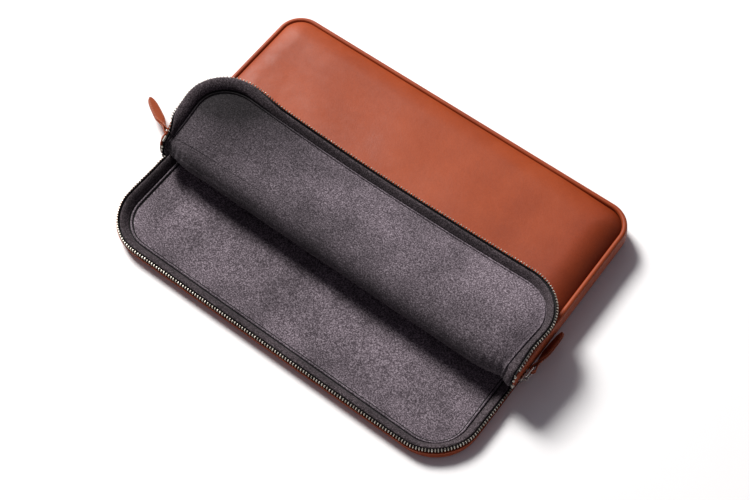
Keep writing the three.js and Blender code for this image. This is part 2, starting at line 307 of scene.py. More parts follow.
CARAMEL = ((0.26, 0.041, 0.0095), (0.315, 0.054, 0.0135), (0.36, 0.067, 0.019))
CHARCOAL = ((0.034, 0.026, 0.032), (0.116, 0.092, 0.109), (0.36, 0.305, 0.345))
MATERIALS = {
    "leather": leather_material("caramel_leather", *CARAMEL),
    # Front leather with painted shade at its right end
    "painted_end_shade": leather_material("caramel_leather_painted_end_shade", *CARAMEL, painted_end_shade=True),
    "tab_leather": leather_material("tab_leather", (0.20, 0.036, 0.010), (0.29, 0.058, 0.018),
                                    (0.37, 0.085, 0.031), 0.46),
    "foam": suede_material("padding_foam", grey(0.10), grey(0.16), grey(0.24), 600),
    "lining": suede_material("charcoal_microsuede", *CHARCOAL),
    # Copy of the lining with painted shade, for the flap and the fold
    "flap_lining": suede_material("charcoal_microsuede_painted_shade", *CHARCOAL, with_painted_shade=True),
    "wall_lining": suede_material("dark_wall_lining", (0.012, 0.009, 0.010), (0.044, 0.033, 0.038),
                                  (0.14, 0.115, 0.128)),
    "ridge": suede_material("seam_ridge_suede", *CHARCOAL),
    # Copy of the seam ridge with the same painted shade, for the flap and the fold
    "flap_ridge": suede_material("flap_ridge_suede_painted_shade", *CHARCOAL, with_painted_shade=True),
    # Painted shade: the seam binding is near black, standing in for the shade in the grooves either
    # side of the seam ridge.
    "binding": suede_material("seam_binding_painted_groove_shade", grey(0.003), grey(0.009), grey(0.03), 1400, 0),
    "zip_tape": woven_material("black_zip_tape", grey(0.003), (0.014, 0.012, 0.014)),
    "zip_metal": metal_material("antique_teeth", (0.24, 0.22, 0.18), (0.66, 0.62, 0.55), 0.24),
    "slider_metal": metal_material("polished_nickel", (0.45, 0.42, 0.38), (0.76, 0.73, 0.68), 0.18),
    "thread": thread_material("caramel_thread", (0.30, 0.10, 0.04), (0.52, 0.22, 0.11)),
}


# ---- Outline of the sleeve -----------------------------------
def rim_depth(x, y):
    """Distance inwards from the rim line, in plan."""
    far_side = y > 0
    r = np.where(far_side, FAR_RADIUS, NEAR_RADIUS)
    qx = np.abs(x) - (RIM_X - r)
    qy = np.where(far_side, y - (RIM_FAR - r), -y + RIM_NEAR + r)
    outside = np.hypot(np.maximum(qx, 0), np.maximum(qy, 0))
    return r - outside - np.minimum(np.maximum(qx, qy), 0)


def half_width(y, inset):
    """Half the width at y of the rim outline moved in by inset."""
    if y > RIM_FAR - FAR_RADIUS:
        radius, rise = FAR_RADIUS, y - (RIM_FAR - FAR_RADIUS)
    elif y < RIM_NEAR + NEAR_RADIUS:
        radius, rise = NEAR_RADIUS, RIM_NEAR + NEAR_RADIUS - y
    else:
        return RIM_X - inset
    return RIM_X - radius + math.sqrt(max((radius - inset) ** 2 - rise ** 2, 0))


def line_points(a, b, normal, step):
    """Points from a to b, without b, each as x, y, normal x, normal y."""
    a, b = np.array(a, float), np.array(b, float)
    count = max(1, int(round(np.linalg.norm(b - a) / step)))
    share = np.arange(count)[:, None] / count
    return np.hstack([a + (b - a) * share, np.tile(normal, (count, 1))])


def arc_points(cx, cy, radius, start, step):
    count = max(6, int(round(radius * math.pi / 2 / step)))
    angle = math.radians(start) + np.arange(count) / count * math.pi / 2
    nx, ny = np.cos(angle), np.sin(angle)
    return np.stack([cx + radius * nx, cy + radius * ny, nx, ny], 1)


def far_path(y_end, step=PATH_STEP):
    """From the right side at y_end round the closed edge to the left side, anticlockwise."""
    x, r = RIM_X, FAR_RADIUS
    return np.vstack([
        line_points((x, y_end), (x, RIM_FAR - r), (1, 0), step),
        arc_points(x - r, RIM_FAR - r, r, 0, step),
        line_points((x - r, RIM_FAR), (r - x, RIM_FAR), (0, 1), step),
        arc_points(r - x, RIM_FAR - r, r, 90, step),
        line_points((-x, RIM_FAR - r), (-x, y_end), (-1, 0), step),
        [[-x, y_end, -1, 0]],
    ])


def near_half(sign, y_end, step=PATH_STEP):
    """Anticlockwise: on the left from y_end to the middle of the open edge, on the right from
    there to y_end."""
    x, r = RIM_X, NEAR_RADIUS
    if sign < 0:
        return np.vstack([
            line_points((-x, y_end), (-x, RIM_NEAR + r), (-1, 0), step),
            arc_points(r - x, RIM_NEAR + r, r, 180, step),
            line_points((r - x, RIM_NEAR), (0, RIM_NEAR), (0, -1), step),
            [[0, RIM_NEAR, 0, -1]],
        ])
    return np.vstack([
        line_points((0, RIM_NEAR), (x - r, RIM_NEAR), (0, -1), step),
        arc_points(x - r, RIM_NEAR + r, r, 270, step),
        line_points((x, RIM_NEAR + r), (x, y_end), (1, 0), step),
        [[x, y_end, 1, 0]],
    ])


def near_path(y_end, step=PATH_STEP):
    return np.vstack([near_half(-1, y_end, step)[:-1], near_half(1, y_end, step)])


def whole_path():
    return np.vstack([far_path(0)[:-1], near_path(0)[:-1]])


def side_path(sign, y_far, y_near):
    """A straight stretch of one side, anticlockwise round the sleeve."""
    y_from, y_to = (y_far, y_near) if sign < 0 else (y_near, y_far)
    points = line_points((sign * RIM_X, y_from), (sign * RIM_X, y_to), (sign, 0), FINE_STEP)
    return np.vstack([points, [[sign * RIM_X, y_to, sign, 0]]])


# ---- Sections, as (offset from the rim line, height) ---------
def smooth_loop(points, per_span=4):
    """A closed Catmull-Rom curve through section points."""
    p = np.array(points, float)
    out = []
    for i in range(len(p)):
        a, b, c, d = p[i - 1], p[i], p[(i + 1) % len(p)], p[(i + 2) % len(p)]
        for t in np.arange(per_span) / per_span:
            out.append(0.5 * (2 * b + (c - a) * t + (2 * a - 5 * b + 4 * c - d) * t ** 2
                              + (3 * b - a - 3 * c + d) * t ** 3))
    return np.array(out)


def oval_section(offset, z, half_wide, half_high, count):
    angle = np.arange(count) / count * 2 * math.pi
    return np.stack([offset + half_wide * np.cos(angle), z + half_high * np.sin(angle)], 1)


def mirrored(section):
    """The same section on the other side of the plane where the chains meet."""
    return np.stack([section[:, 0], 2 * ZIP_Z - section[:, 1]], 1)[::-1]


def narrowed(section, kept=4.4, share=0.74):
    """The section with all that lies deeper inside than kept drawn outwards."""
    depth = np.maximum(-section[:, 0] - kept, 0)
    return np.stack([section[:, 0] + depth * (1 - share), section[:, 1]], 1)


def wall_face(z):
    """Offset of the wall's outer face at a height: it bows outwards."""
    return -1.5 * ((ZIP_Z - z) / 8.4) ** 2


def wall_section(z_from, z_to, inset, thickness, steps=8):
    heights = np.linspace(z_from, z_to, steps)
    outer = np.stack([wall_face(heights) - inset, heights], 1)
    inner = np.stack([wall_face(heights) - inset - thickness, heights], 1)[::-1]
    return np.vstack([outer, inner])


LOWER = {
    "wall_leather": wall_section(WALL_ROOT, 7.6, 0.0, WALL),
    "wall_lining": smooth_loop([(-4.4, 3.9), (-3.7, 6.3), (-3.3, 8.4), (-3.9, 9.6), (-5.3, 9.4),
                                (-7.0, 8.1), (-8.6, 6.2), (-9.8, 4.5), (-9.0, 3.7), (-6.5, 3.6)]),
    "zip_tape": smooth_loop([(-3.9, 3.6), (-2.9, 6.6), (-1.6, 9.3), (-1.9, 9.6), (-2.3, 9.4),
                             (-3.5, 6.6), (-4.5, 3.6), (-4.2, 3.4)]),
    "welt": oval_section(-3.3, 2.7, 2.2, 2.3, 22),
    "seam_binding": smooth_loop([(-9.8, 3.6), (-9.9, 4.05), (-11.4, 4.2), (-12.9, 4.05),
                                 (-13.0, 3.6), (-11.4, 3.4)], 3),
    "seam_ridge": oval_section(-11.45, 4.35, 0.8, 0.85, 12),
}
UPPER = {name: mirrored(narrowed(section)) for name, section in LOWER.items()}
BAND_LOOK = {"wall_leather": "leather", "wall_lining": "wall_lining", "zip_tape": "zip_tape",
             "welt": "leather", "seam_binding": "binding", "seam_ridge": "ridge"}


# ---- Folding -------------------------------------------------
TILT = {-1: 0.23, 1: 0.15}         # how much less of the upper half fold the flap's ends take up
SPREAD = {-1: 3.5, 1: 2.5}         # how far the flap's far corners are spread sideways


def smoothstep(t):
    t = np.clip(t, 0, 1)
    return t * t * (3 - 2 * t)


def fold_back(points):
    """Takes points of the closed sleeve to where they are with the flap folded back."""
    x, y, z = np.array(points, float).T
    run = FOLD_START - y
    turn = np.clip(run / FOLD_RADIUS, 0, 2 * FOLD_ANGLE)
    radius = FOLD_RADIUS - (z - NEUTRAL)
    beyond = np.maximum(run - 2 * HALF_FOLD, 0)
    folded_y = FOLD_START - radius * np.sin(turn) - np.cos(turn) * beyond
    folded_z = NEUTRAL + FOLD_RADIUS - radius * np.cos(turn) + np.sin(turn) * beyond
    on_fold = run > 0
    return np.stack([x, np.where(on_fold, folded_y, y), np.where(on_fold, folded_z, z)], 1)


def lift_ends(points, sign, share):
    """Turns points up about the upper hinge, by more towards the end of the flap: the ends of the
    fold are stiffer, so the flap's corners stay up. share is how far round the fold they are."""
    x, y, z = points.T
    taken = smoothstep(share) - smoothstep(share - TILT[sign] * np.abs(x) / RIM_X)
    turn = taken * FOLD_ANGLE
    dy, dz = y - UPPER_HINGE[0], z - UPPER_HINGE[1]
    return np.stack([x, UPPER_HINGE[0] + dy * np.cos(turn) - dz * np.sin(turn),
                     UPPER_HINGE[1] + dy * np.sin(turn) + dz * np.cos(turn)], 1)


def blend_by(piece, gradient):
    """Bakes the piece's transform into its mesh; the gradient is not used."""
    gradient = Vector(gradient)
    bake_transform(piece)


# ---- Making objects ------------------------------------------
def outward(verts, faces):
    """Turns all faces over if the closed surface is inside out."""
    volume = 0.0
    for face in faces:
        a = verts[face[0]]
        for i in range(1, len(face) - 1):
            volume += np.dot(a, np.cross(verts[face[i]], verts[face[i + 1]]))
    return faces if volume > 0 else [tuple(reversed(f)) for f in faces]


def add_object(name, data):
    thing = bpy.data.objects.new(name, data)
    bpy.context.scene.collection.objects.link(thing)
    return thing


SHARP = 38                          # degrees between faces that shade as an edge


def make_mesh(name, verts, faces, look, sharp=SHARP):
    verts = np.array(verts, float)
    mesh = bpy.data.meshes.new(name)
    mesh.from_pydata((verts * MM).tolist(), [], outward(verts, faces))
    mesh.update()
    mesh.shade_smooth()
    mesh.set_sharp_from_angle(angle=math.radians(sharp))
    piece = add_object(name, mesh)
    mesh.materials.append(MATERIALS[look])
    return piece


def settle(piece, body, *nodes):
    """The piece rides on a body and stands for CAD nodes."""
    if nodes:
        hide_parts(*nodes)
    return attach(piece, body)


def on_flap(name, sign, verts, faces, look, node, sharp=SHARP):
    """A piece of one half of the flap, drawn closed and put where it lies folded back."""
    x, y, z = verts.T
    corner = smoothstep((FLAP_START - y) / 50) * smoothstep((np.abs(x) - 90) / 76)
    spread = np.stack([x + sign * SPREAD[sign] * corner, y, z], 1)
    placed = lift_ends(fold_back(spread), sign, np.ones(len(verts)))
    piece = make_mesh(name, placed, faces, look, sharp)
    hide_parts(node)
    slope = -sign * TILT[sign] / RIM_X
    blend_by(piece, (slope, 0, 0))
    return piece


FOLD_SPANS = {"lower": (FOLD_START, FOLD_START - HALF_FOLD),
              "upper": (FOLD_START - HALF_FOLD, FLAP_START)}
FOLD_BLENDS = {"lower": ("sleeve", "fold", (0, -1, 1)), "upper": ("fold", "flap", (0, 1, 1))}


def on_fold(name, sign, half, verts, faces, look, edges=None, sharp=SHARP):
    """A piece across one half of the fold, folded back; on the upper half the flap's ends are also
    lifted.
    edges are points whose first and last rows set where the fold's half begins and ends."""
    first, second, direction = FOLD_BLENDS[half]
    y_first, y_last = FOLD_SPANS[half]
    direction = np.array(direction) / math.sqrt(2)
    edges = verts if edges is None else edges
    place = fold_back(edges) @ direction
    at_first = place[edges[:, 1] > y_first - 0.01].max()
    length = place[edges[:, 1] < y_last + 0.01].min() - at_first
    placed = fold_back(verts)
    gradient = direction / length
    if half == "upper":
        placed = lift_ends(placed, sign, (placed @ direction - at_first) / length)
        gradient = gradient - np.array([sign * TILT[sign] / RIM_X, 0, 0])
    piece = make_mesh(name, placed, faces, look, sharp)
    blend_by(piece, gradient)
    return piece


def ring_faces(count, size, closed=False, swept=False):
    """Faces between count rings of size points, with end faces unless the rings close up. A swept
    band's side faces run the other way."""
    last = count - (0 if closed else 1)
    faces = []
    for i in range(last):
        a, b = i * size, ((i + 1) % count) * size
        for j in range(size):
            k = (j + 1) % size
            faces.append((a + j, b + j, b + k, a + k) if swept else (a + j, a + k, b + k, b + j))
    if not closed:
        faces.append(tuple(range(size))[::-1])
        faces.append(tuple(last * size + j for j in range(size)))
    return faces


def sweep(path, section, closed=False):
    """Verts and faces of a section of (offset, height) points carried along a path."""
    x, y, nx, ny = (column[:, None] for column in path.T)
    offset, z = section.T
    heights = np.broadcast_to(z, (len(path), len(z)))
    rings = np.stack([x + nx * offset, y + ny * offset, heights], 2)
    return rings.reshape(-1, 3), ring_faces(len(path), len(section), closed, swept=True)


def panel(inset, y_from, y_to, top, bottom, columns, rows, span=(-1, 1), ease=1.0):
    """Verts and faces of a closed sheet between two height functions of x and y. span is the
    share of the width that it covers, and ease crowds the rows towards y_to."""
    across = np.linspace(span[0], span[1], columns + 1)
    across = across * (1.3 - 0.3 * across ** 2)
    along = 1 - (1 - np.linspace(0, 1, rows + 1)) ** ease
    y = y_from + (y_to - y_from) * along
    width = np.array([half_width(v, inset) for v in y])
    x = (width[:, None] * across).ravel()
    y = np.repeat(y, columns + 1)
    verts = np.vstack([np.stack([x, y, top(x, y)], 1), np.stack([x, y, bottom(x, y)], 1)])
    wide, under = columns + 1, len(x)
    faces = []
    for r in range(rows):
        for c in range(columns):
            a = r * wide + c
            quad = (a, a + 1, a + wide + 1, a + wide)
            faces.append(quad)
            faces.append(tuple(under + v for v in reversed(quad)))
    edge = list(range(wide)) + [r * wide + columns for r in range(1, rows + 1)]
    edge += [rows * wide + c for c in range(columns - 1, -1, -1)]
    edge += [r * wide for r in range(rows - 1, 0, -1)]
    for a, b in zip(edge, edge[1:] + edge[:1]):
        faces.append((b, a, under + a, under + b))
    return verts, faces


# ---- Height functions of the panels (flap closed) ------------
def ripple(x, y, size, seed):
    """Smooth unevenness between about -1 and 1."""
    total = np.zeros_like(x, float)
    rng = np.random.default_rng(seed)
    for _ in range(7):
        angle = rng.uniform(0, 2 * math.pi)
        wave = 2 * math.pi / (size * rng.uniform(0.7, 1.6))
        phase = rng.uniform(0, 2 * math.pi)
        total += np.sin(wave * (x * math.cos(angle) + y * math.sin(angle)) + phase)
    return total / 4


def pillow(inside, width, power=2.0):
    """Rises from 0 at a seam to 1 at width inside it, steepest at the seam."""
    return 1 - (1 - np.clip(inside / width, 0, 1)) ** power


def right_end(x, y):
    """1 at the right end of the closed half, where the padding is worked away from the seam."""
    return smoothstep((x - 96) / 60) * smoothstep((y - 6) / 40)


def front_leather(x, y):
    """Middle of the front leather: it drops into the seam and crowns over the padding. Where the
    flap lies on it, and on the flap itself, it is pressed flatter."""
    inside = np.maximum(rim_depth(x, y) - PANEL_INSET, 0)
    right = right_end(x, y)
    sunk = 2.0 * right
    crown = 2.7 + 1.5 * smoothstep((y - 34) / 34) + 1.4 * right + sunk
    dip = 0.8 * np.exp(-inside / 1.4)
    uneven = 0.3 * ripple(x, y, 80, 3) * (1 - np.exp(-inside / 14))
    return NEUTRAL - 1.8 - sunk + crown * pillow(inside, 19 + 12 * right, 2 + right) - dip + uneven


def front_lining(x, y):
    """Middle of the front lining: flat in the seam and padded inside it, most on the flap."""
    inside = rim_depth(x, y) - FRONT_SEAM_DEPTH
    crown = 1.0 + 3.4 * smoothstep((-18 - y) / 36)
    uneven = 0.3 * ripple(x, y, 46, 11) * (1 - np.exp(-np.maximum(inside, 0) / 10))
    gathers = 0.35 * np.sin(np.abs(x) * 1.05) * np.exp(-((y + 46) / 9) ** 2)
    gathers = gathers * smoothstep((np.abs(x) - 128) / 22)
    sunk = 2.0 * right_end(x, y) * np.exp(-np.maximum(inside, 0) / 14)
    return TOP - 3.9 - sunk - crown * pillow(inside, 26) - uneven - gathers


def back_leather(x, y):
    """Middle of the back leather: flat on the table, turning up into its seam."""
    inside = np.maximum(rim_depth(x, y) - PANEL_INSET, 0)
    return LEATHER / 2 + 0.9 * np.exp(-inside / 2.2)


def back_lining(x, y):
    inside = rim_depth(x, y) - SEAM_DEPTH
    uneven = 0.25 * ripple(x, y, 60, 21) * (1 - np.exp(-np.maximum(inside, 0) / 12))
    return 3.3 + 0.8 * pillow(inside, 18) + uneven


def shifted(surface, amount):
    return lambda x, y: surface(x, y) + amount


def layers(leather, lining, outside):
    """Height functions of the top and bottom of the leather, padding and lining of a panel.
    outside is 1 when the leather is on top and -1 when it is underneath."""
    half, thin, gap = LEATHER / 2, LINING / 2, 0.08
    return {
        "leather": (shifted(leather, half), shifted(leather, -half)),
        "foam": (shifted(leather, -outside * (half + gap)),
                 shifted(lining, outside * (thin + gap))),
        "lining": (shifted(lining, thin), shifted(lining, -thin)),
    }


INSETS = {"leather": PANEL_INSET, "foam": FOAM_INSET, "lining": LINING_INSET}
# The flap and the fold take the lining and ridge copies with painted shade.
OPEN_LOOK = {"lining": "flap_lining", "ridge": "flap_ridge"}


# ---- Panels --------------------------------------------------
FOLD_LINING_LENGTH = HALF_FOLD * 2.43   # the lining bends round a wider radius than the leather
FLAT = {"back": (321, 236), "front": (321, 156), "flap": (161, 65),
        "fold": (161, FOLD_LINING_LENGTH)}


def declare(look, part):
    """Looks up a lining's flat size for the part, and does nothing with it."""
    if look == "foam":
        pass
    elif look == "lining":
        width, length = FLAT[part]


def back_panel():
    for look, (top, bottom) in layers(back_leather, back_lining, -1).items():
        inset = INSETS[look]
        verts, faces = panel(inset, RIM_NEAR + inset, RIM_FAR - inset, top, bottom,
                             columns=110, rows=96)
        piece = make_mesh(f"back_{look}", verts, faces, look)
        settle(piece, "sleeve", f"back_panel_{look}")
        declare(look, "back")


def front_panel():
    for look, (top, bottom) in layers(front_leather, front_lining, 1).items():
        verts, faces = panel(INSETS[look], FOLD_START, RIM_FAR - INSETS[look], top, bottom,
                             columns=170, rows=96, ease=1.6)
        # The front leather takes the copy with painted shade at its right end.
        piece = make_mesh(f"front_{look}", verts, faces, "painted_end_shade" if look == "leather" else look)
        settle(piece, "sleeve", f"front_panel_{look}")
        declare(look, "front")


def flap_panel():
    for look, (top, bottom) in layers(front_leather, front_lining, 1).items():
        for side, sign in SIDES:
            verts, faces = panel(INSETS[look], FLAP_START, RIM_NEAR + INSETS[look], top, bottom,
                                 span=sorted((0, sign)), columns=90, rows=52, ease=1.4)
            piece = on_flap(f"flap_{look}_{side}", sign, verts, faces, OPEN_LOOK.get(look, look),
                            f"flap_{look}")
            declare(look, "flap")


def fold_strip():
    for look, (top, bottom) in layers(front_leather, front_lining, 1).items():
        for half, (y_first, y_last) in FOLD_SPANS.items():
            for side, sign in SIDES:
                verts, faces = panel(INSETS[look], y_last, y_first, top, bottom,
                                     span=sorted((0, sign)), columns=90, rows=14)
                piece = on_fold(f"fold_{look}_{half}_{side}", sign, half, verts, faces,
                                OPEN_LOOK.get(look, look))
                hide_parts(f"fold_{look}")
                declare(look, "fold")


# ---- Walls, welts, bindings and tapes ------------------------
CURL = 0.17                         # curl of the flap's wall round its left end, radians per mm
FOLD_TIP = {-1: math.radians(46), 1: math.radians(-24)}  # inwards, or outwards if negative
FOLD_SQUEEZE = {-1: 0.1, 1: 0.45}   # share of the wall's height lost where it is gathered
MAX_BEND = 2.2                      # radians that the curled wall can turn through
FLAP_ROOT_Z = TOP - 2.2             # the wall turns about its root, here and this far from the
FLAP_ROOT_REACH = NEAR_RADIUS - 3.0  # centre of the corner
MOUTH_BULGE = 0.7
MOUTH_DRAWN = 2.4


def relax_flap(verts):
    """Moves the flap's wall about its root. Beside the fold it can't stand up, because it would be
    longer than the panel there, so it gathers, and tips in on the left and out on the right. Round
    the flap's left end it curls outwards, and the flap rests on it."""
    x, y, z = verts.T
    run = FOLD_START - y
    beside = np.where(run < HALF_FOLD, smoothstep((run + 2) / (HALF_FOLD + 2)),
                      1 - smoothstep((run - HALF_FOLD) / 26))
    left_end = smoothstep((-x - 100) / 44) * smoothstep((run - HALF_FOLD - 8) / 24)
    left = x < 0
    tip = np.where(left, FOLD_TIP[-1], FOLD_TIP[1]) * beside
    squeeze = 1 - np.where(left, FOLD_SQUEEZE[-1], FOLD_SQUEEZE[1]) * beside
    middle_x = np.clip(x, NEAR_RADIUS - RIM_X, RIM_X - NEAR_RADIUS)
    middle_y = np.maximum(y, RIM_NEAR + NEAR_RADIUS)
    reach = np.maximum(np.hypot(x - middle_x, y - middle_y), 0.001)
    across, hang = reach - FLAP_ROOT_REACH, (FLAP_ROOT_Z - z) * squeeze
    curl = CURL * left_end + 1e-6
    bend = np.clip(curl * np.maximum(hang, 0), 0, MAX_BEND)
    turn = bend - tip
    out = (1 - np.cos(bend)) / curl
    down = np.where(hang > 0, np.sin(bend) / curl, hang)
    new_across = out * np.cos(tip) - down * np.sin(tip) + across * np.cos(turn)
    new_hang = down * np.cos(tip) + out * np.sin(tip) - across * np.sin(turn)
    tipped = FLAP_ROOT_REACH + new_across
    return np.stack([middle_x + (x - middle_x) / reach * tipped,
                     middle_y + (y - middle_y) / reach * tipped,
                     FLAP_ROOT_Z - new_hang], 1)


def relax_mouth(verts):
    """The lower mouth's rim bulges out on the left side and is drawn in at the right corner."""
    x, y, z = verts.T
    lift = np.clip(z / ZIP_Z, 0, 1)
    bulge = MOUTH_BULGE * np.exp(-((y + 82) / 16) ** 2) * (x < 0) * lift
    drawn = MOUTH_DRAWN * np.exp(-((x - 152) ** 2 + (y + 107) ** 2) / 26 ** 2) * lift
    return np.stack([x - bulge - 0.7 * drawn, y + 0.7 * drawn, z], 1)


FLAP_BANDS = (                      # section, CAD node, and whether it hangs with the wall
    ("wall_leather", "flap_wall_leather", True),
    ("wall_lining", "flap_wall_lining", True),
    ("zip_tape", "flap_zip_tape", True),
    ("seam_binding", "flap_seam_binding", False),
    ("seam_ridge", "flap_seam_binding", False),
    ("welt", "flap_welt", False),
)


def flap_edge():
    for name, node, hangs in FLAP_BANDS:
        look = OPEN_LOOK.get(BAND_LOOK[name], BAND_LOOK[name])

        def band(path):
            verts, faces = sweep(path, UPPER[name])
            return (relax_flap(verts) if hangs else verts), faces

        for side, sign in SIDES:
            on_flap(f"flap_{name}_{side}", sign, *band(near_half(sign, FLAP_START)), look, node)
            if hangs:
                verts, faces = band(side_path(sign, WALL_START, FOLD_START))
                settle(make_mesh(f"{name}_stub_{side}", fold_back(verts), faces, look), "sleeve")
            for half, span in FOLD_SPANS.items():
                on_fold(f"{name}_fold_{half}_{side}", sign, half, *band(side_path(sign, *span)),
                        look)


def lower_edge():
    path = near_path(WALL_START)
    for name in ("wall_leather", "wall_lining", "zip_tape"):
        verts, faces = sweep(path, LOWER[name])
        piece = make_mesh(f"mouth_{name}_band", relax_mouth(verts), faces, BAND_LOOK[name])
        settle(piece, "sleeve", f"mouth_{name}")
    for name, node in (("welt", "back_welt"), ("seam_binding", "back_seam_binding"),
                       ("seam_ridge", "back_seam_binding")):
        verts, faces = sweep(whole_path(), LOWER[name], closed=True)
        piece = make_mesh(f"back_{name}_loop", verts, faces, BAND_LOOK[name])
        settle(piece, "sleeve", node)


def closed_end():
    bands = (
        ("closed_wall_outer", wall_section(WALL_ROOT, TOP - WALL_ROOT, 0.0, WALL, 18), "leather",
         WALL_START, "closed_wall_leather"),
        ("closed_wall_inner", wall_section(4.0, TOP - 4.0, 1.6, 0.8, 12), "lining",
         WALL_START, "closed_wall_lining"),
        ("front_welt_roll", UPPER["welt"], "leather", FOLD_START, "front_welt"),
        ("front_binding_band", UPPER["seam_binding"], "binding", FOLD_START, "front_seam_binding"),
        ("front_binding_ridge", UPPER["seam_ridge"], "ridge", FOLD_START, "front_seam_binding"),
    )
    for name, section, look, start, node in bands:
        verts, faces = sweep(far_path(start), section)
        settle(make_mesh(name, verts, faces, look), "sleeve", node)


# ---- Zip teeth -----------------------------------------------
TOOTH_HEIGHT = 2.72
TOOTH_BASE = 8.6                    # height where the lower teeth start, with the flap closed
TOOTH_OFFSET = -1.5
TOOTH_LEAN = 0.02                   # spread of the teeth's unevenness, as a slope


def tooth():
    """One tooth, clamped on the tape: u along the chain, o outwards, w away from the tape."""
    rings = [(0.0, 0.36, 0.70), (0.3, 0.46, 0.85), (1.6, 0.46, 0.85), (2.1, 0.40, 0.72),
             (TOOTH_HEIGHT - 0.2, 0.38, 0.66), (TOOTH_HEIGHT, 0.26, 0.5)]
    verts = []
    for w, u, o in rings:
        verts += [(-u, -o * 0.7, w), (-u * 0.7, -o, w), (u * 0.7, -o, w), (u, -o * 0.7, w),
                  (u, o * 0.7, w), (u * 0.7, o, w), (-u * 0.7, o, w), (-u, o * 0.7, w)]
    return np.array(verts, float), ring_faces(len(rings), 8)


def along(path, pitch, phase):
    """Evenly spaced points of a path, as x, y, normal x, normal y."""
    steps = np.linalg.norm(np.diff(path[:, :2], axis=0), axis=1)
    run = np.concatenate([[0], np.cumsum(steps)])
    places = np.arange(phase * pitch, run[-1], pitch)
    found = np.stack([np.interp(places, run, path[:, k]) for k in range(4)], 1)
    found[:, 2:] /= np.linalg.norm(found[:, 2:], axis=1)[:, None]
    return found


def teeth(path, upper, phase=0.5):
    """A run of separate teeth along a path, with the flap closed."""
    one, one_faces = tooth()
    verts, faces = [], []
    for x, y, nx, ny in along(path, TOOTH_PITCH, phase):
        lean = RNG.normal(0, TOOTH_LEAN, 2)
        u, o, w = one.T
        offset = TOOTH_OFFSET + o + w * lean[0]
        along_u = u + w * lean[1]
        rise = TOOTH_BASE + w
        z = 2 * ZIP_Z - rise if upper else rise
        faces += [tuple(v + len(verts) * len(one) for v in f) for f in one_faces]
        verts.append(np.stack([x + nx * offset - ny * along_u,
                               y + ny * offset + nx * along_u, z], 1))
    return np.vstack(verts), faces


def zip_chains():
    verts, faces = teeth(near_path(SLIDER_Y + 4.5, FINE_STEP), upper=False)
    settle(make_mesh("mouth_zip_teeth", relax_mouth(verts), faces, "zip_metal", 30),
           "sleeve", "mouth_zip_chain")
    for side, sign in SIDES:
        verts, faces = teeth(near_half(sign, FLAP_START, FINE_STEP), upper=True, phase=0.25)
        on_flap(f"flap_zip_teeth_{side}", sign, relax_flap(verts), faces, "zip_metal",
                "flap_zip_chain", 30)
        for half, (y_first, y_last) in FOLD_SPANS.items():
            path = side_path(sign, y_first, y_last)
            verts, faces = teeth(path, upper=True, phase=0.4)
            tape, _ = sweep(path, UPPER["zip_tape"])
            on_fold(f"zip_teeth_fold_{half}_{side}", sign, half, relax_flap(verts), faces,
                    "zip_metal", relax_flap(tape), 30)


# ---- Sliders, links, pull tabs and stops ---------------------
def rounded_slab(outline, half_thick, bevel):
    """Verts and faces of a slab in its own u, v plane with rounded rims; w is its thickness."""
    outline = np.array(outline, float)
    centre = outline.mean(0)
    rings = []
    for w, inset in ((-half_thick, bevel), (-half_thick + bevel * 0.3, bevel * 0.3),
                     (-half_thick + bevel, 0), (half_thick - bevel, 0),
                     (half_thick - bevel * 0.3, bevel * 0.3), (half_thick, bevel)):
        reach = np.linalg.norm(outline - centre, axis=1)[:, None]
        ring = centre + (outline - centre) * (1 - inset / reach)
        rings.append(np.hstack([ring, np.full((len(ring), 1), w)]))
    return np.vstack(rings), ring_faces(len(rings), len(outline))


def tube(points, radius, closed=False, count=10, flat=1.0):
    """Verts and faces of a round or flattened wire along points."""
    points = np.array(points, float)
    ahead = np.roll(points, -1, 0) - np.roll(points, 1, 0)
    if not closed:
        ahead[0], ahead[-1] = points[1] - points[0], points[-1] - points[-2]
    ahead /= np.linalg.norm(ahead, axis=1)[:, None]
    plane = np.linalg.svd(points - points.mean(0))[2][2]
    rings = []
    for p, a in zip(points, ahead):
        side = np.cross(a, plane)
        side /= np.linalg.norm(side)
        angle = np.arange(count) / count * 2 * math.pi
        rings.append(p + radius * (np.outer(np.cos(angle), side)
                                   + flat * np.outer(np.sin(angle), plane)))
    return np.vstack(rings), ring_faces(len(points), count, closed)


def merged(parts):
    verts, faces = [], []
    for part_verts, part_faces in parts:
        start = sum(len(v) for v in verts)
        faces += [tuple(start + i for i in f) for f in part_faces]
        verts.append(part_verts)
    return np.vstack(verts), faces


def superellipse(half_u, half_v, power, count=28, taper=0.0):
    angle = np.arange(count) / count * 2 * math.pi
    u = half_u * np.sign(np.cos(angle)) * np.abs(np.cos(angle)) ** (2 / power)
    v = half_v * np.sign(np.sin(angle)) * np.abs(np.sin(angle)) ** (2 / power)
    return np.stack([u, v * (1 - taper * u / half_u)], 1)


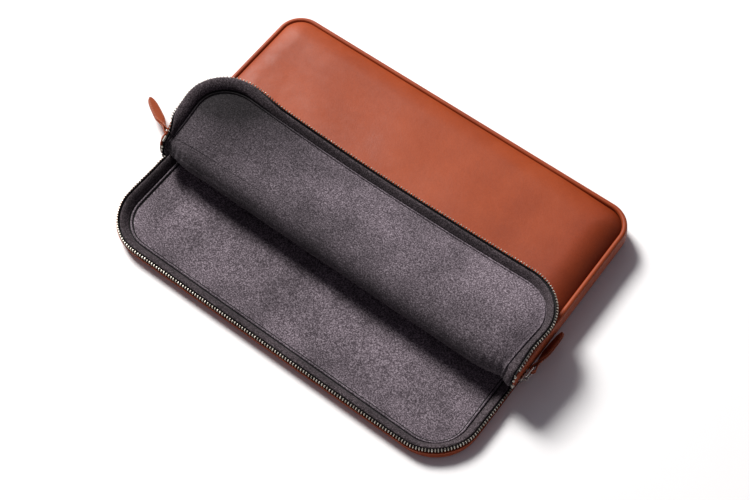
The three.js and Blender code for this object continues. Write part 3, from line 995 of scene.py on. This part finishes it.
def slider_piece(side, sign):
    """Two shield-shaped plates either side of the chain, a wedge between them and a bridge."""
    half_long = (high(f"slider_{side}")[1] - low(f"slider_{side}")[1]) / 2
    half_high = high(f"slider_{side}")[2] - ZIP_Z
    outline = superellipse(half_long, half_high, 3.2, taper=0.16)
    plate_middle, plate_half = 2.4, 0.5
    parts = []
    for place in (-plate_middle, plate_middle):
        verts, faces = rounded_slab(outline, plate_half, 0.32)
        parts.append((verts[:, [2, 0, 1]] + [place, 0, 0], faces))
    wedge, wedge_faces = rounded_slab(superellipse(1.2, plate_middle, 3), 0.16, 0.05)
    parts.append((wedge[:, [1, 0, 2]] + [0, 1.2 - half_long, 0], wedge_faces))
    reach = np.linspace(0, math.pi, 17)
    bridge = [(plate_middle + 3.1 * math.sin(a) ** 0.8, -1.75 * math.cos(a), 0) for a in reach]
    arch, arch_faces = tube(bridge, 0.42, flat=3.2)
    parts.append((arch, arch_faces))
    verts, faces = merged(parts)
    verts = verts * [sign, 1, 1] + [sign * CHAIN_X, SLIDER_Y, ZIP_Z]
    settle(make_mesh(f"zip_slider_{side}", verts, faces, "slider_metal", 40),
           f"slider_{side}", f"slider_{side}")


TWIST = {"left": math.radians(68), "right": math.radians(42)}


def pull_frame(side, sign):
    """Pivot of the link, pivot of the tab, and the pull's outward, side and up directions."""
    link = Vector(JOINTS[f"pull_link_{side}_swing"]["pos_m"]) / MM
    tab = Vector(JOINTS[f"pull_tab_{side}_swing"]["pos_m"]) / MM
    ahead = (tab - link).normalized()
    return link, tab, ahead, Vector((0, 0, 1)).cross(ahead) * sign


def link_piece(side, sign):
    """A rounded wire ring from the slider's bridge to the tab's loop."""
    link, tab, ahead, _ = pull_frame(side, sign)
    half_high = high(f"pull_link_{side}")[2] - ZIP_Z - 0.7
    middle, half_long = (link + tab) / 2, (tab - link).length / 2
    ring = superellipse(half_long, half_high, 5, 44)
    points = [middle + ahead * u + Vector((0, 0, v)) for u, v in ring]
    verts, faces = tube([tuple(p) for p in points], 0.7, closed=True, count=12)
    settle(make_mesh(f"pull_ring_{side}", verts, faces, "slider_metal", 60),
           f"link_{side}", f"pull_link_{side}")


def tab_half_height(u, length, half_high):
    """Half the strap's height at u along it: narrow at the loop, widest two thirds along, and a
    rounded point."""
    t = np.clip(u / length, 0, 1)
    body = 0.74 + 0.26 * smoothstep(t / 0.5)
    return half_high * body * np.clip((1 - t ** 7), 0, 1) ** 0.6


def tab_piece(side, sign):
    """A strap folded round the ring's outer bar, its two layers sewn together round the edge. Past
    the loop it twists, so that its outer face turns up."""
    _, tab, ahead, across = pull_frame(side, sign)
    half_high = (high(f"pull_tab_{side}")[2] - low(f"pull_tab_{side}")[2]) / 2
    length, loop, layer = 37.0, 1.35, 1.15

    def strap_point(u, v, w):
        """Along the strap, across its thickness and across its width."""
        turn = TWIST[side] * smoothstep((u - 3) / 14)
        return tuple(tab + ahead * u + across * (v * math.cos(turn) - w * math.sin(turn))
                     + Vector((0, 0, w * math.cos(turn) + v * math.sin(turn))))

    # Middle line of the strap in plan: out along one layer, round the bar and back.
    arc = [(-(loop + layer / 2) * math.cos(a), (loop + layer / 2) * math.sin(a))
           for a in np.linspace(-1.9, 1.9, 15)]
    run = np.linspace(5.0, length, 26)
    line = [(u, -layer / 2 - 0.03) for u in run[::-1]] + arc + [(u, layer / 2 + 0.03) for u in run]
    line = np.array(line)
    step = np.gradient(line, axis=0)
    step /= np.linalg.norm(step, axis=1)[:, None]
    normal = np.stack([-step[:, 1], step[:, 0]], 1)
    section = superellipse(1, layer / 2, 4, 20)
    rings = []
    for (u, v), n in zip(line, normal):
        high_here = max(tab_half_height(u, length + 0.4, half_high), 0.4)
        rings.append([strap_point(u + n[0] * t, v + n[1] * t, s * high_here) for s, t in section])
    verts = np.array(rings).reshape(-1, 3)
    faces = ring_faces(len(rings), len(section))
    piece = make_mesh(f"tab_strap_{side}", verts, faces, "tab_leather", 50)
    settle(piece, f"tab_{side}", f"pull_tab_{side}")
    stitches(side, strap_point, length, half_high, layer)


def stitches(side, strap_point, length, half_high, layer):
    """A row of short stitches along both edges of the strap, on both faces."""
    parts = []
    for face in (-1, 1):
        for edge in (-1, 1):
            for u in np.arange(7.5, length - 2.5, 2.3):
                height = edge * (tab_half_height(u, length, half_high) - 1.0)
                out = face * (layer + 0.02)
                ends = [strap_point(u + d, out + 0.12 * face * (1 - abs(d)), height)
                        for d in (-0.75, -0.4, 0, 0.4, 0.75)]
                parts.append(tube(ends, 0.2, count=6))
    verts, faces = merged(parts)
    settle(make_mesh(f"tab_stitches_{side}", verts, faces, "thread", 60), f"tab_{side}")


def zip_stop(side, sign):
    """A squared clamp with rounded rims, crimped on both chains behind the slider."""
    lowest, highest = np.array(low(f"zip_stop_{side}")), np.array(high(f"zip_stop_{side}"))
    half = (highest - lowest) / 2
    verts, faces = rounded_slab(superellipse(half[0], half[1], 6), half[2], 0.35)
    verts = verts + (lowest + highest) / 2
    settle(make_mesh(f"zip_end_stop_{side}", verts, faces, "zip_metal", 40), "sleeve",
           f"zip_stop_{side}")


def pulls():
    for side, sign in SIDES:
        slider_piece(side, sign)
        link_piece(side, sign)
        tab_piece(side, sign)
        zip_stop(side, sign)


# ---- Floor, light and camera ---------------------------------
CAMERA = {"azimuth": 38.5, "elevation": 62.2, "roll": -1.6, "distance": 1042.0, "lens": 65.3,
          "target": (15.3, -6.6, 0.0)}


def place_camera():
    azimuth, elevation, roll = (math.radians(CAMERA[k]) for k in ("azimuth", "elevation", "roll"))
    back = Vector((math.sin(azimuth) * math.cos(elevation),
                   -math.cos(azimuth) * math.cos(elevation), math.sin(elevation)))
    right = Vector((math.cos(azimuth), math.sin(azimuth), 0))
    up = back.cross(right)
    tilted_right = right * math.cos(roll) + up * math.sin(roll)
    tilted_up = up * math.cos(roll) - right * math.sin(roll)
    data = bpy.data.cameras.new("camera")
    data.lens = CAMERA["lens"]
    data.sensor_width = 36
    data.clip_start = 0.01
    camera = add_object("camera", data)
    matrix = Matrix((tilted_right, tilted_up, back)).transposed().to_4x4()
    matrix.translation = Vector(CAMERA["target"]) * MM + back * CAMERA["distance"] * MM
    camera.matrix_world = matrix
    bpy.context.scene.camera = camera


def area_light(name, direction, distance, size, radiance, colour=(1, 1, 1)):
    """A softbox at a distance in a direction from the sleeve, facing it. Its power follows from
    its radiance, so that it reflects with the same brightness whatever its size."""
    data = bpy.data.lights.new(name, "AREA")
    data.shape = "RECTANGLE"
    data.size, data.size_y = size
    data.energy = radiance * math.pi * size[0] * size[1]
    data.color = colour
    lamp = add_object(name, data)
    toward = Vector(direction).normalized()
    lamp.location = toward * distance
    lamp.rotation_euler = (-toward).to_track_quat("-Z", "Y").to_euler()


def stage_floor():
    size = 6.0
    mesh = bpy.data.meshes.new("floor")
    mesh.from_pydata([(-size, -size, 0), (size, -size, 0), (size, size, 0), (-size, size, 0)], [],
                     [(0, 1, 2, 3)])
    floor = add_object("floor", mesh)
    floor.location.z = -0.0002
    material, nodes, links, shader, coords = new_material("pale_floor")
    paper = noise_node(nodes, links, coords, 3, 2)
    links.new(ramp_node(nodes, links, paper, [(0.3, grey(0.88)), (0.7, grey(0.90))]),
              shader.inputs["Base Color"])
    shader.inputs["Roughness"].default_value = 0.9
    shader.inputs["Specular IOR Level"].default_value = 0.1
    mesh.materials.append(material)


def light_scene():
    world = bpy.data.worlds.new("studio")
    world.use_nodes = True
    background = world.node_tree.nodes["Background"]
    background.inputs["Color"].default_value = (0.95, 0.86, 1.0, 1)
    background.inputs["Strength"].default_value = 0.13
    bpy.context.scene.world = world
    area_light("key", (-0.68, 0.25, 0.69), 4.3, (1.25, 1.25), 63, (1.0, 0.985, 0.965))
    area_light("sky", (-0.42, 0.42, 0.80), 3.0, (1.4, 1.4), 0.7, (0.97, 0.97, 1.0))
    bpy.context.scene.view_settings.view_transform = "Standard"


# ---- Build ---------------------------------------------------
place_camera()
stage_floor()
light_scene()
back_panel()
front_panel()
flap_panel()
fold_strip()
closed_end()
lower_edge()
flap_edge()
zip_chains()
pulls()
